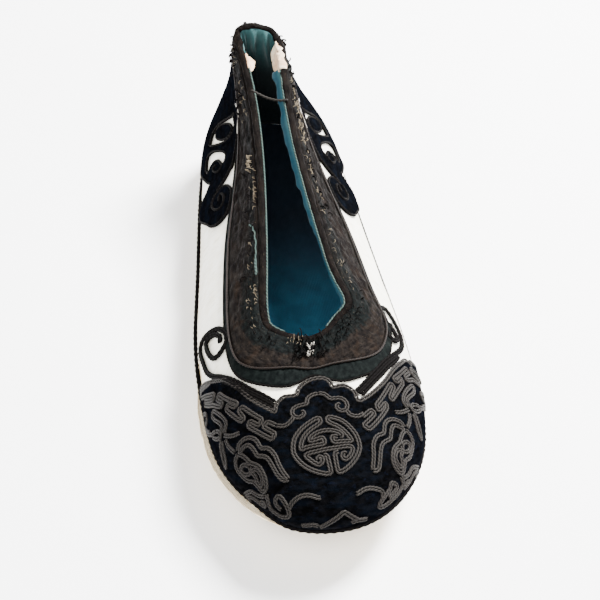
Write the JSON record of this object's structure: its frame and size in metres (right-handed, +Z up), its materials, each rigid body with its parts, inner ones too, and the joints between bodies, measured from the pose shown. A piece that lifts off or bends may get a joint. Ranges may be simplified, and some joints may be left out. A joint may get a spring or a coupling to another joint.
{
  "type": "chinese embroidered shoe",
  "caption": "Low cloth slipper with a long narrow opening, an embroidered velvet toe cap, wide silk collar band and thick layered cloth sole.",
  "frame": {"origin": "on the floor, below the middle of the shoe's length and width", "axes": "+Z up, +Y towards the heel, -Y towards the toe, +X to the right of a viewer who faces the toe"},
  "size_m": [0.0942, 0.2629, 0.0821],
  "materials": {
    "sole_cloth": "off-white layered cotton cloth, matt, stained at the edge",
    "insole_cloth": "deep blue cotton, matt, worn and darkened",
    "white_silk": "off-white silk satin over stiff cloth, low sheen",
    "black_velvet": "blue-black cut velvet with a soft sheen",
    "green_silk": "dark green-black woven silk, worn",
    "brown_silk": "dark purplish-brown woven silk, creased and frayed",
    "black_cord": "black twisted silk cord",
    "grey_cord": "grey-brown twisted silk cord, couched down in pairs",
    "teal_lining": "teal plain-weave cotton lining, faded"
  },
  "bodies": {
    "root": {"sole": "sole_cloth", "insole": "insole_cloth", "upper": "white_silk", "toe_cap": "black_velvet", "collar_border": "green_silk", "collar_band": "brown_silk", "rim_binding": "brown_silk", "base_piping": "black_cord", "heel_scroll_left": "black_velvet", "heel_scroll_right": "black_velvet", "side_cord_left": "black_cord", "side_cord_right": "black_cord"}
  },
  "joints": []
}
